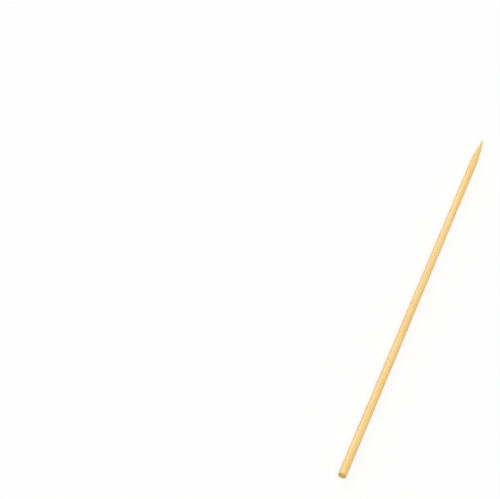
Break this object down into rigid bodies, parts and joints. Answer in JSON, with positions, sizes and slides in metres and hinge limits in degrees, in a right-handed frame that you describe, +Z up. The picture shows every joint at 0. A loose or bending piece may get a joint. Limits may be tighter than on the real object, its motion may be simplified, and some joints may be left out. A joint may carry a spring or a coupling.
{
  "type": "bamboo skewer",
  "caption": "Straight round bamboo rod, ground to a long point at one end and sawn square at the other.",
  "frame": {"origin": "on the surface that the skewer lies on, under the middle of its length", "axes": "+X along the rod, from the sawn butt to the point; +Z up from the surface that it lies on"},
  "size_m": [0.25, 0.004, 0.004],
  "materials": {
    "bamboo": "bare split bamboo, planed round and left untreated: pale straw, fine grain along its length, low sheen"
  },
  "bodies": {
    "root": {"skewer": "bamboo"}
  },
  "joints": []
}
